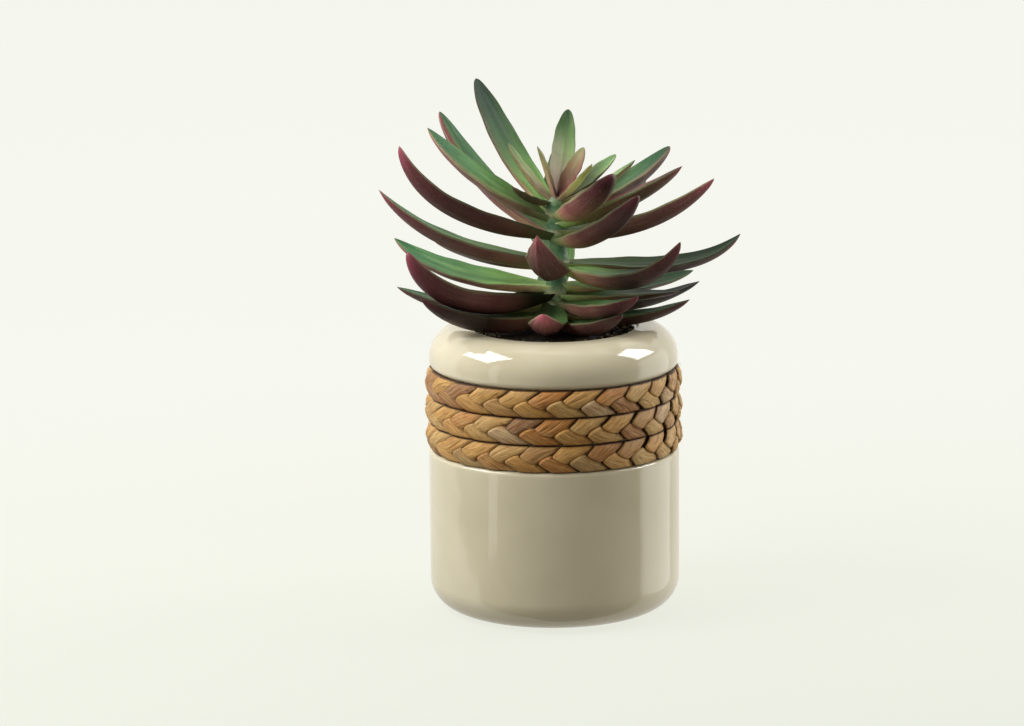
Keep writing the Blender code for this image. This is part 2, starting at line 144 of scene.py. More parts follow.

# Each leaf: azimuth, height on the stem, length, width, depth, rise at the foot, rise at the tip,
# bend, roll; wine red underneath, bluntness of the tip, blush along one upper edge (its sign tells
# the side) and a green hem along one lower edge; painted light and shade that make the leaf lighter
# or darker at its foot, middle and tip, and how much of that the upper face keeps
LEAVES = {
    "rim_left": (262, 153, 76, 15, 6, -13, 24, 1, 0, 0.35, 0.3, 0, 0, 3, 0.75, 0.8, 1),
    "rim_front_left": (300, 148, 73, 17, 8.5, -9, 34, 1, 0, 0.55, 0.5, 0, 0, 2.5, 0.17, 0.54, 0.3),
    "rim_front": (352, 153, 41, 19, 6, -46, 56, 1, 0, 0.65, 0.6, 0.3, 0, 0.4, 1.65, 2.2, 0.5),
    "rim_front_right": (42, 145, 47, 16, 6.5, -8, 33, 1, 0, 0.6, 0.6, 0, 0.3, 1.6, 1.6, 0.34, 0.4),
    "rim_right": (80, 149, 65, 15, 5.5, -14, 29, 1, 0, 0.45, 0.3, 0, 0, 3, 0.68, 0.76, 1),
    "rim_right_back": (103, 153, 71, 14, 5, -11, 24, 1, 0, 0.35, 0.3, 0, 0, 0.5, 0.41, 0.14, 1),
    "rim_back_right": (140, 150, 62, 14, 5, -5, 8, 1, 0, 0.5, 0.4, 0, 0, 0.7, 0.7, 0.7, 1),
    "rim_back": (184, 154, 58, 14, 5, -9, 20, 1, 0, 0.6, 0.4, 0, 0, 0.8, 0.8, 0.8, 1),
    "rim_back_left": (224, 150, 64, 14, 5, -4, 4, 1, 0, 0.45, 0.4, 0, 0, 0.7, 0.7, 0.7, 1),
    "skirt_left": (262, 162, 81, 16, 6, 2, 42, 1.7, -18, 0.8, 0.5, 0, 0, 3, 1.7, 2.21, 0.94),
    "skirt_front_left": (297, 158, 87, 20, 9, -4, 72, 2, 16, 1, 0.9, 0, 0, 0.05, 1.17, 1.03, 1),
    "skirt_front_right": (51, 154.5, 49, 16, 7.5, -11, 32, 1, 0,
                          0.75, 0.7, 0, 0.2, 0.6, 2.52, 0.75, 0.6),
    "skirt_right": (88, 157.5, 57, 14, 4, -3, 7, 1, 0, 0.2, 0.4, 0, 0, 2.51, 2.34, 0.77, 0.25),
    "skirt_right_back": (120, 162, 76, 15, 4.5, -13, 13, 1, 16,
                         0.6, 0.4, 0, 0, 2.91, 0.42, 1.22, 0.6),
    "skirt_back": (174, 162, 60, 14, 5, 12, 46, 1, 0, 0.6, 0.4, 0, 0, 3, 3, 2.86, 1),
    "skirt_back_left": (228, 159, 52, 14, 5, -2, 14, 1, 0, 0.6, 0.4, 0, 0, 1.2, 1, 1, 1),
    "outer_left": (275, 175, 94, 14.5, 6.5, 6, 50, 1.4, 0, 0.8, 0.3, 0, 0, 0.72, 1.3, 1.6, 1),
    "outer_front": (346, 172, 47, 23, 7, -6, 70, 1, 0, 0.5, 0, 0, 0, 1, 1.3, 2.2, 0.7),
    "outer_front_right": (56, 172, 75, 17, 8, -12, 62, 1.6, 0,
                          0.5, 0.6, 0, 0.5, 2.65, 0.48, 0.97, 0.5),
    "outer_right": (100, 173, 91, 15, 6, -5, 47, 3, 10, 0.6, 0.5, 0, 0, 1.3, 0.66, 0.85, 0.46),
    "outer_back_right": (144, 173, 62, 14, 5, -12, -7, 1, 0, 0.6, 0.3, 0, 0, 0.9, 0.8, 0.8, 1),
    "outer_back": (194, 177, 66, 15, 5.5, 0, 44, 1, 0, 0.6, 0.4, 0, 0, 1.3, 1.1, 1, 1),
    "outer_back_left": (232, 173, 76, 15, 5, -6, 12, 1, 0, 0.7, 0.4, 0, 0, 0.9, 0.9, 1, 1),
    "middle_left": (288, 189, 94, 17.5, 7.5, 13, 74, 2.1, 10, 0.9, 0.8, 0, 0, 0.38, 0.75, 1.56, 1),
    "middle_back_left": (237, 189, 87, 17, 6, 20, 61, 1, 0, 0.95, 0.9, -1, 0, 1.6, 1.52, 1.61, 1),
    "middle_front_right": (37, 186, 68, 17, 7.5, 7, 47, 1, 0,
                           0.85, 0.9, 0, 0.6, 0.98, 0.85, 0.53, 1),
    "middle_right": (73, 190, 83, 15.5, 6.5, -1, 44, 1, -15, 0.5, 0.6, 0, 0, 0.85, 1.76, 2.58, 0.6),
    "middle_back_right": (134, 189, 62, 15, 5.5, 4, 34, 1, 0, 0.6, 0.4, 0.2, 0, 1.1, 1, 1, 1),
    "middle_back": (180, 188, 58, 15, 5.5, 8, 44, 1, 0, 0.7, 0.4, 0.2, 0, 1.2, 1, 1, 1),
    "upper_left": (258, 198, 74, 15, 6, 19, 51, 1, -15, 0.6, 0.5, -0.35, 0, 0.69, 3, 3, 0.57),
    "upper_back_left": (224, 202, 79, 18, 6, 34, 63, 1, 0, 0.8, 1, -0.3, 0, 2.2, 0.86, 0.43, 1),
    "upper_back": (176, 198, 46, 14, 5, 30, 52, 1, 0, 0.7, 0.7, 0.2, 0, 1.1, 1, 0.9, 1),
    "upper_back_right": (116, 199, 66, 19, 6.5, 9, 43, 1, 0, 0.75, 1, 0.55, 0, 1.32, 1.07, 0.84, 1),
    "upper_right": (80, 195, 65, 15, 6.5, 16, 37, 1, 0, 0.4, 0.4, -0.9, 0, 2.88, 2.58, 2.07, 0.25),
    "upper_front_right": (40, 199, 46, 20, 8, 12, 55, 1, 0, 1, 1, 0, 1, 1.6, 2.73, 0.48, 0.42),
}

# A leaf with straighter sides and a stronger keel: how late it narrows, its keel and its own twist
SPEAR_LEAVES = {"outer_front": (1.6, 0.26, -11)}

# Each young leaf: azimuth, length, width, depth, rise at the foot, rise at the tip, roll; wine red
# underneath, how fresh it is, bluntness, blush and hem; painted light and shade at foot, middle and
# tip, and how much of that the upper face keeps
YOUNG_LEAVES = {
    "young_centre": (167, 48, 12, 4, 50, 62, 0, 0, 0.85, 1, 0, 0, 0.61, 0.78, 0.61, 1),
    "young_left": (248, 34, 8, 2.6, 42, 60, 0, 0.35, 0.62, 1, -0.3, 0, 1.28, 1.5, 1.38, 1),
    "young_upright": (262, 26, 6, 2, 80, 64, 0, 0.6, 1, 0.6, 0.3, 0, 1, 1, 1, 1),
    "young_back_right": (108, 27, 9, 2.4, 60, 64, 35, 0.95, 1, 0.9, 0.6, 0, 0.67, 0.56, 0.79, 1),
    "young_right": (66, 25, 8, 2.2, 44, 52, 0, 0.6, 0.95, 0.6, 0.5, 0, 1.95, 3, 2.7, 0.45),
    "young_front_left": (292, 21, 9, 3, 14, 42, 0, 0.1, 0.35, 0.6, 0, 0, 0.68, 0.6, 0.72, 1),
    "young_long_right": (94, 41, 10, 3, 18, 42, 0, 0.15, 0.75, 0.6, 0, 0, 1.3, 1.35, 1.3, 1),
    "young_far_right": (132, 41, 11, 3.2, 22, 33, 0, 0.3, 0.35, 1, 0, 0, 0.5, 0.58, 2.34, 1),
}

# Stage
BACKDROP = (245, 246, 238)
FLOOR_REACH = 3.0
FLOOR_LEVEL = -0.0002
FLOOR_GLOW = 0.88           # share of the floor that the camera sees as a painted glow instead of lit
FLOOR_NEAR = -0.25          # where the glow's tones below begin and end, in metres along Y; they are painted shade, darker towards the near side
FLOOR_FAR = 1.25
FLOOR_TONES = [
    (0.0, (232, 235, 224)), (0.074, (235, 237, 226)), (0.145, (238, 240, 229)),
    (0.223, (241, 243, 232)), (0.307, (243, 244, 234)), (0.407, (245, 246, 237)),
    (0.553, (248, 249, 241)), (0.967, (251, 252, 245)),
]
WORLD_FRONT = 0.25
WORLD_BEHIND = 1.0
WORLD_LEFT = -0.12
WORLD_BELOW = 0.75
CAMERA_PLACE = (0.0, -2.047, 0.559)
CAMERA_AIM = (-0.0207, 0.0, 0.1232)
CAMERA_ROLL = -0.5
CAMERA_LENS = 147.66
CAMERA_SENSOR = 36.0
LAMP_AIM = (0.0, 0.0, 0.13)

# Each lamp: azimuth, rise, distance, width, height, power, colour, whether it lights matt surfaces
# and whether it shows in glossy ones
LAMPS = {
    "left_high": (-76, 46, 1.0, 0.5, 0.5, 5.6, (1.0, 0.99, 0.96), True, False),
    "right_high": (102, 38, 1.0, 0.42, 0.46, 1.5, (1.0, 0.99, 0.98), True, False),
    "left_side": (-57, 30, 0.9, 0.7, 0.7, 3.5, (1.0, 0.99, 0.965), True, False),
    "right_side": (92, 8, 1.1, 0.6, 1.0, 2.6, (1.0, 0.99, 0.98), True, False),
    "left_window": (-87, 46, 0.97, 0.58, 0.48, 7.6, (1.0, 1.0, 1.0), False, True),
    "right_window": (102, 38, 0.97, 0.42, 0.46, 5.4, (1.0, 1.0, 1.0), False, True),
    "left_panel": (-56.5, 6, 1.3, 0.2, 1.12, 0.6, (1.0, 0.97, 0.95), False, True),
    "right_panel": (107, -1, 1.2, 1.04, 0.88, 2.3, (1.0, 0.975, 0.98), False, True),
}


# ---------------------------------------------------------------- numbers, directions and nodes

def unit(value):
    """A number held between 0 and 1."""
    return min(1.0, max(0.0, value))


def heading(azimuth, rise):
    """The direction of an azimuth and a rise, both in degrees."""
    a = radians(azimuth)
    e = radians(rise)
    return Vector((sin(a) * cos(e), -cos(a) * cos(e), sin(e)))


def linear(colour):
    """A linear colour from the 0 to 255 values of a screen colour."""
    out = []
    for value in colour:
        v = value / 255
        out.append(v / 12.92 if v <= 0.04045 else ((v + 0.055) / 1.055) ** 2.4)
    return (*out, 1.0)


def plug(tree, socket, value):
    """Link a socket to another node's output, or give it a plain value."""
    if isinstance(value, bpy.types.NodeSocket):
        tree.links.new(value, socket)
    elif value is not None:
        socket.default_value = value


def new(tree, kind):
    return tree.nodes.new("ShaderNode" + kind)


def fill(tree, node, keys, values):
    """Plug values into some inputs of a node, and return its first output."""
    for key, value in zip(keys, values):
        plug(tree, node.inputs[key], value)
    return node.outputs[0]


def attribute(tree, name):
    node = new(tree, "Attribute")
    node.attribute_name = name
    return node.outputs["Fac"]


def maths(tree, operation, a, b=None, c=None, clamp=False):
    node = new(tree, "Math")
    node.operation = operation
    node.use_clamp = clamp
    return fill(tree, node, range(3), (a, b, c))


def times(tree, a, b):
    return maths(tree, "MULTIPLY", a, b)


def line(tree, value, slope, start):
    """A value times its slope, plus a start."""
    return maths(tree, "MULTIPLY_ADD", value, slope, start)


def between(tree, value, low, high, out_low=0.0, out_high=1.0, smooth=True):
    node = new(tree, "MapRange")
    node.interpolation_type = "SMOOTHSTEP" if smooth else "LINEAR"
    return fill(tree, node, range(5), (value, low, high, out_low, out_high))


def mixed(tree, factor, a, b, blend="MIX"):
    """A blend of a and b, each a node's output or a screen colour."""
    node = new(tree, "Mix")
    node.data_type = "RGBA"
    node.blend_type = blend
    node.clamp_factor = True
    a, b = (linear(value) if isinstance(value, tuple) else value for value in (a, b))
    fill(tree, node, (0, 6, 7), (factor, a, b))
    return node.outputs[2]


def tinted(tree, colour, *layers):
    """A colour with tints over it, each rising to a share as its value goes from low to high."""
    for value, low, high, share, tint in layers:
        colour = mixed(tree, between(tree, value, low, high, 0.0, share), colour, tint)
    return colour


def ramp(tree, factor, stops):
    """A colour ramp from (position, screen colour) pairs."""
    node = new(tree, "ValToRGB")
    elements = node.color_ramp.elements
    elements[0].position = stops[0][0]
    elements[0].color = linear(stops[0][1])
    elements[1].position = stops[-1][0]
    elements[1].color = linear(stops[-1][1])
    for position, colour in stops[1:-1]:
        elements.new(position).color = linear(colour)
    return fill(tree, node, (0,), (factor,))


def point(tree, x, y, z=0.0):
    return fill(tree, new(tree, "CombineXYZ"), range(3), (x, y, z))


def parts_of(tree, vector):
    """The x, y and z of a vector."""
    node = new(tree, "SeparateXYZ")
    plug(tree, node.inputs[0], vector)
    return node.outputs


def place(tree):
    """The point itself, in metres."""
    return new(tree, "TexCoord").outputs["Object"]


def noise(tree, scale, detail=3.0, roughness=0.5, at=None):
    """Soft noise at the point itself, or at another vector."""
    node = new(tree, "TexNoise")
    at = place(tree) if at is None else at
    fill(tree, node, ("Vector", "Scale", "Detail", "Roughness"), (at, scale, detail, roughness))
    return node.outputs["Fac"]


def bump(tree, height, distance, strength=1.0, before=None):
    node = new(tree, "Bump")
    keys = ("Height", "Distance", "Strength", "Normal")
    return fill(tree, node, keys, (height, distance, strength, before))


def new_material(name):
    material = bpy.data.materials.new(name)
    material.use_nodes = True
    return material, material.node_tree


def finished(material, colour, roughness, normal=None, specular=None, ior=None):
    """A material with its shader's inputs filled."""
    tree = material.node_tree
    keys = ("Base Color", "Roughness", "Normal", "Specular IOR Level", "IOR")
    fill(tree, tree.nodes["Principled BSDF"], keys, (colour, roughness, normal, specular, ior))
    return material


def split_by_camera(tree, share, unseen, seen, output):
    """Show the camera a share of one shader, and everything else the other shader."""
    path = new(tree, "LightPath").outputs["Is Camera Ray"]
    node = new(tree, "MixShader")
    sides = (times(tree, path, share), unseen.outputs[0], seen.outputs[0])
    both = fill(tree, node, range(3), sides)
    plug(tree, tree.nodes[output].inputs["Surface"], both)


# ---------------------------------------------------------------- materials

def leaf_material():
    material, tree = new_material("living_leaf")
    given = [attribute(tree, name) for name in LEAF_VALUES]
    along, across, upper, wine, fresh, blush, hem, seed, light = given
    below = maths(tree, "SUBTRACT", 1.0, upper)
    side = maths(tree, "ABSOLUTE", across)
    streak_at = point(tree, line(tree, across, 1.5, times(tree, seed, 17.0)),
                      line(tree, along, 1.4, times(tree, seed, 5.0)), times(tree, upper, 3.0))
    streak = noise(tree, 1.3, 2.0, 0.5, streak_at)
    thread_at = point(tree, line(tree, across, 15.0, times(tree, seed, 31.0)),
                      times(tree, along, 2.2), upper)
    thread = noise(tree, 1.3, 3.0, 0.6, thread_at)
    patch = noise(tree, 120.0, 4.0, 0.6)
    bloom = noise(tree, 1500.0, 2.0, 0.7)
    dust = noise(tree, 420.0, 5.0, 0.75)
    shifted = maths(tree, "ADD", along, line(tree, streak, 0.2, -0.1), clamp=True)

    plum = ramp(tree, shifted, [
        (0.0, (150, 156, 108)), (0.07, (178, 150, 114)), (0.18, (172, 114, 104)),
        (0.34, (126, 73, 74)), (0.6, (92, 54, 54)), (0.86, (102, 53, 60)), (1.0, (146, 66, 86))])
    brown = ramp(tree, shifted, [
        (0.0, (118, 144, 90)), (0.12, (104, 112, 70)), (0.3, (82, 73, 54)), (0.55, (69, 54, 46)),
        (0.85, (78, 54, 49)), (1.0, (102, 62, 61))])
    green = ramp(tree, shifted, [
        (0.0, (152, 178, 114)), (0.1, (122, 160, 92)), (0.35, (99, 142, 80)), (0.62, (82, 123, 79)),
        (0.88, (54, 102, 66)), (1.0, (46, 82, 54))])
    pale = ramp(tree, shifted, [
        (0.0, (150, 92, 114)), (0.12, (184, 130, 140)), (0.3, (204, 184, 162)),
        (0.5, (172, 188, 136)), (0.74, (112, 154, 90)), (0.92, (66, 104, 66)), (1.0, (50, 84, 58))])
    pale_under = ramp(tree, shifted, [
        (0.0, (162, 118, 114)), (0.24, (192, 156, 128)), (0.58, (164, 148, 100)),
        (0.88, (130, 124, 76)), (1.0, (102, 94, 62))])
    rosy_young = ramp(tree, shifted, [
        (0.0, (120, 66, 72)), (0.28, (156, 104, 88)), (0.58, (176, 140, 102)),
        (0.86, (186, 176, 128)), (1.0, (160, 162, 112))])

    # young leaves: one half of the face whitish, partly painted light on the lit side of the fold,
    # the other grass green, and painted shade along the fold in the middle
    milky_and_lit_half = times(tree, between(tree, across, 0.0, -0.45), between(tree, along, 0.9, 0.5))
    from_fold = maths(tree, "ABSOLUTE", maths(tree, "SUBTRACT", across, 0.06))
    pale = mixed(tree, times(tree, milky_and_lit_half, 0.5), pale, (216, 204, 192))
    pale = tinted(tree, pale, (across, 0.2, 0.6, 0.42, (134, 182, 92)),
                  (from_fold, 0.2, 0.0, 0.42, (88, 108, 82)))
    mature = mixed(tree, upper, mixed(tree, wine, brown, plum), green)
    young = mixed(tree, upper, pale_under, mixed(tree, wine, pale, rosy_young))
    colour = mixed(tree, fresh, mature, young)

    # painted shade in a darker run and in the middle of the upper face's channel, and a painted
    # highlight in a lighter run beside them
    ripe = times(tree, upper, maths(tree, "SUBTRACT", 1.0, fresh))
    painted_shade_run = times(tree, between(tree, streak, 0.5, 0.66), times(tree, ripe, 0.26))
    colour = mixed(tree, painted_shade_run, colour, (40, 78, 58))
    dark = times(tree, between(tree, side, 0.6, 0.0), times(tree, ripe, 0.24))
    colour = mixed(tree, dark, colour, (34, 88, 60))
    bright = times(tree, between(tree, streak, 0.48, 0.3), times(tree, upper, 0.3))
    colour = mixed(tree, bright, colour, (146, 182, 120))
    # blush from one edge of the upper face, a green hem underneath, then the thin edge itself
    rosy = times(tree, between(tree, times(tree, across, blush), 0.05, 0.85), upper)
    colour = mixed(tree, times(tree, rosy, 0.9), colour, (164, 70, 86))
    hemmed = times(tree, between(tree, across, -0.05, -0.6), hem)
    colour = mixed(tree, times(tree, times(tree, hemmed, below), 0.85), colour, (122, 144, 70))
    rim = mixed(tree, upper, (138, 144, 106), (84, 58, 46))
    colour = mixed(tree, between(tree, side, 0.93, 0.985, 0.0, 0.55), colour, rim)
    # fine threads, cloudy patches and a powdery bloom
    colour = tinted(
        tree, colour,
        (thread, 0.5, 0.78, 0.15, (180, 190, 150)), (patch, 0.52, 0.8, 0.26, (40, 34, 28)),
        (bloom, 0.54, 0.78, 0.16, (206, 190, 180)), (dust, 0.6, 0.74, 0.22, (196, 172, 164)),
        (dust, 0.42, 0.3, 0.22, (34, 28, 22)))
    # painted light and shade: the colour made lighter or darker along each leaf
    colour = mixed(tree, 1.0, colour, point(tree, light, light, light), "MULTIPLY")
    relief = bump(tree, bloom, 0.0001, 0.35, bump(tree, thread, 0.0002, 0.18))
    return finished(material, colour, line(tree, bloom, 0.25, 0.34), relief,
                    line(tree, upper, -0.18, 0.32))


def stem_material():
    material, tree = new_material("living_stem")
    cloudy = noise(tree, 160.0, 4.0, 0.6)
    grain = noise(tree, 900.0, 3.0, 0.6)
    colour = ramp(tree, cloudy, [
        (0.25, (62, 98, 72)), (0.5, (92, 134, 96)), (0.75, (128, 160, 116))])
    colour = mixed(tree, times(tree, attribute(tree, "collar"), 0.75), colour, (176, 166, 126))
    colour = tinted(tree, colour, (grain, 0.6, 0.8, 0.45, (86, 70, 52)))
    return finished(material, colour, line(tree, grain, 0.25, 0.4), bump(tree, grain, 0.0003, 0.5))


def glaze_material():
    material, tree = new_material("cream_glaze")
    cloud = noise(tree, 22.0, 3.0, 0.5)
    fleck = noise(tree, 620.0, 2.0, 0.6)
    colour = ramp(tree, cloud, [
        (0.3, (218, 210, 181)), (0.55, (226, 218, 190)), (0.8, (231, 223, 197))])
    colour = tinted(tree, colour, (fleck, 0.74, 0.8, 0.35, (172, 152, 120)))
    waves = noise(tree, 34.0, 1.0, 0.4)
    pits = bump(tree, noise(tree, 260.0, 2.0, 0.5), 0.0001, 0.18)
    return finished(material, colour, between(tree, cloud, 0.3, 0.8, 0.02, 0.06),
                    bump(tree, waves, 0.0012, 0.35, pits), 0.62, 1.58)


def fibre_material():
    material, tree = new_material("plaited_fibre")
    run = attribute(tree, "run")
    lane = attribute(tree, "lane")
    away = times(tree, attribute(tree, "seed"), 23.0)
    cloud_at = point(tree, times(tree, run, 0.1), away, times(tree, lane, 0.6))
    cloud = noise(tree, 1.0, 2.0, 0.5, cloud_at)
    strip_at = point(tree, times(tree, run, 0.05), line(tree, lane, 7.0, away))
    strip = noise(tree, 1.4, 4.0, 0.65, strip_at)
    hair_at = point(tree, times(tree, run, 0.14), line(tree, lane, 22.0, away))
    hair = noise(tree, 1.6, 3.0, 0.6, hair_at)
    stops = [((i + 0.5) / len(TONES), TONE_COLOURS[letter]) for i, letter in enumerate(TONES)]
    # tones, clouds, strips and hairs of the fibre, then its painted shade in dark brown
    colour = tinted(
        tree, ramp(tree, attribute(tree, "tone"), stops),
        (cloud, 0.5, 0.68, 0.4, (200, 130, 58)), (cloud, 0.46, 0.3, 0.45, (222, 182, 118)),
        (strip, 0.49, 0.33, 0.7, (126, 76, 32)), (strip, 0.53, 0.68, 0.65, (246, 210, 142)),
        (hair, 0.48, 0.34, 0.6, (112, 66, 26)), (hair, 0.56, 0.68, 0.4, (246, 216, 158)),
        (attribute(tree, "painted_shade"), 0.0, 1.0, 0.92, (56, 32, 14)))
    relief = bump(tree, hair, 0.0003, 0.7, bump(tree, strip, 0.0006, 0.9))
    return finished(material, colour, line(tree, hair, 0.3, 0.38), relief, 0.42)


def earth_material():
    material, tree = new_material("dark_mix")
    clods = noise(tree, 420.0, 5.0, 0.7)
    colour = ramp(tree, clods, [(0.3, (14, 11, 9)), (0.52, (38, 30, 22)), (0.72, (78, 62, 42))])
    return finished(material, colour, 0.92, bump(tree, clods, 0.001, 0.9))


def crumb_material():
    material, tree = new_material("moss_crumbs")
    grain = noise(tree, 1400.0, 3.0, 0.6)
    colour = ramp(tree, attribute(tree, "tint"), [
        (0.0, (26, 22, 16)), (0.35, (58, 48, 26)), (0.55, (120, 104, 38)), (0.8, (176, 152, 52)),
        (1.0, (206, 186, 96))])
    colour = tinted(tree, colour, (grain, 0.45, 0.3, 0.6, (40, 32, 16)))
    return finished(material, colour, 0.85, bump(tree, grain, 0.0004, 0.8))


# ---------------------------------------------------------------- meshes

def turns(count):
    """Angles that go once round, in radians."""
    return [2 * pi * i / count for i in range(count)]


def add_object(name, data):
    thing = bpy.data.objects.new(name, data)
    bpy.context.scene.collection.objects.link(thing)
    return thing


def add_piece(name, points, faces, material, nodes, attributes=None):
    """Make one piece of the object from points in millimetres, with values for its material."""
    mesh = bpy.data.meshes.new(name)
    mesh.from_pydata((np.asarray(points) * MM).tolist(), [], faces)
    for key, values in (attributes or {}).items():
        layer = mesh.attributes.new(key, "FLOAT", "POINT")
        layer.data.foreach_set("value", np.asarray(values, np.float32))
    mesh.materials.append(material)
    mesh.shade_smooth()
    piece = add_object(name, mesh)
    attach(piece, "root")
    if nodes:
        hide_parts(*nodes)
    return piece


def grid_faces(rows, columns, around=True):
    """Quads between the rings of a grid of points, counted ring by ring."""
    faces = []
    last = columns if around else columns - 1
    for row in range(rows - 1):
        for i in range(last):
            j = (i + 1) % columns
            low = row * columns
            high = low + columns
            faces.append((low + i, low + j, high + j, high + i))
    return faces


def end_faces(rows, columns, first, last):
    """Triangles that close a grid's first and last rings to the points with these numbers."""
    faces = []
    high = (rows - 1) * columns
    for i in range(columns):
        j = (i + 1) % columns
        faces += [(first, j, i), (last, high + i, high + j)]
    return faces


def arc(centre, radius, start, end, steps):
    points = []
    for i in range(steps + 1):
        angle = radians(start + (end - start) * i / steps)
        points.append((centre[0] + radius * cos(angle), centre[1] + radius * sin(angle)))
    return points


def stem_at(height):
    for (z0, x0, r0), (z1, x1, r1) in zip(STEM_COURSE, STEM_COURSE[1:]):
        if height <= z1:
            share = max(0.0, (height - z0) / (z1 - z0))
            return x0 + (x1 - x0) * share, r0 + (r1 - r0) * share
    return STEM_COURSE[-1][1:]


def make_pot(material):
    """The whole pot, turned from its outline, with soft rounds and a foot ring."""
    hollow = FOOT_HOLLOW_RADIUS
    foot = [(0.0, 1.2), (hollow, 1.2), (hollow + 1, 0.2)]
    foot += arc((BODY_RADIUS - FOOT_ROUND, FOOT_ROUND), FOOT_ROUND, -90, 0, 22)
    body_top = WAIST_BOTTOM - WAIST_EDGE_ROUND
    wall = [(BODY_RADIUS, z) for z in np.linspace(FOOT_ROUND + 4, body_top - 2, 14)]
    edge = arc((BODY_RADIUS - WAIST_EDGE_ROUND, body_top), WAIST_EDGE_ROUND, 0, 90, 8)
    waist = [(WAIST_RADIUS, WAIST_BOTTOM), (WAIST_RADIUS, WAIST_TOP)]
    low = arc((SHOULDER_RADIUS - SHOULDER_LOW_ROUND, WAIST_TOP + SHOULDER_LOW_ROUND),
              SHOULDER_LOW_ROUND, -90, -2, 12)
    shoulder = arc((SHOULDER_RADIUS - SHOULDER_ROUND, POT_TOP - SHOULDER_ROUND),
                   SHOULDER_ROUND, 0, 90, 22)
    mouth = arc((MOUTH_RADIUS + MOUTH_ROUND, POT_TOP - MOUTH_ROUND), MOUTH_ROUND, 90, 180, 10)
    throat = SHOULDER_RADIUS - WALL
    belly = BODY_RADIUS - WALL
    inside = [(MOUTH_RADIUS, 134.0), (throat, 126.0), (throat, 90.0), (belly, 70.0), (belly, 18.0),
              (hollow, WALL), (0.0, WALL)]
    outline = foot + wall + edge + waist + low + shoulder + mouth + inside
    around = POT_AROUND
    points = []
    for radius, height in outline[1:-1]:
        for a in turns(around):
            uneven = 1 + 0.0012 * sin(2 * a + 0.7 + height * 0.02)
            uneven += 0.0006 * sin(5 * a + height * 0.05)
            points.append((radius * uneven * cos(a), radius * uneven * sin(a), height))
    rows = len(outline) - 2
    count = rows * around
    faces = grid_faces(rows, around) + end_faces(rows, around, count, count + 1)
    points += [(0.0, 0.0, outline[0][1]), (0.0, 0.0, outline[-1][1])]
    add_piece("glazed_pot", points, faces, material, ["pot"])


def lobe_end(side, wobble):
    """The blunt left end of a lobe, from its outer side (side 1) to its inner side (side -1)."""
    bulge = LOBE_BULGE * (1 - side * side) * 0.5
    x = (1 - side) / 2 * (LOBE_PITCH / 2) + 0.9 * abs(side) ** 5 - bulge
    v = side * LOBE_REACH - bulge
    return x, v + wobble


def lobe_shape(angle, chance):
    """How a lobe lies: its angle, slopes of its lower and upper fibres, lift, wobble and slide."""
    fan_low = radians(17 + chance.uniform(-4, 4))
    fan_high = radians(39 + chance.uniform(-4, 4))
    lift = chance.uniform(-0.15, 0.25)
    wobble = chance.uniform(-0.35, 0.35)
    slide = chance.uniform(-0.6, 0.6)
    return angle, fan_low, fan_high, lift, wobble, slide


def clear_of(shape, angle, x, v):
    """How far a point of a lobe, x and v from its corner, lies outside the lobe that covers it."""
    other_angle, fan_low, fan_high, _, wobble, slide = shape
    away = remainder(other_angle - angle, 2 * pi) * LENGTH_RADIUS
    near = x - away - slide
    side = max(-1.0, min(1.0, (v - wobble) / LOBE_REACH))
    low_x, low_v = lobe_end(-0.97, wobble)
    high_x, high_v = lobe_end(0.97, wobble)
    above = (v - high_v) * cos(fan_high) - (near - high_x) * sin(fan_high)
    under = (near - low_x) * sin(fan_low) - (v - low_v) * cos(fan_low)
    return max(above, under, lobe_end(side, wobble)[0] - near)


def lobe_shade(side, clear, s, face, share):
    """How deep in shade a point of a lobe is."""
    flank = unit((side - 0.9) / 0.1) * 0.62
    near_cover = unit(1.0 - (clear - 0.3) / 2.0) * 0.62
    under_cover = unit(1.0 - (clear - 0.15) / 0.5)
    nose = (1 - min(1.0, s / 0.03)) * 0.5
    back = 0.8 if face < -0.1 and s > 0.1 else 0.0
    band_edge = 0.9 * unit((abs(share) - 0.9) / 0.1)
    return max(flank, near_cover, under_cover, nose, back, band_edge)


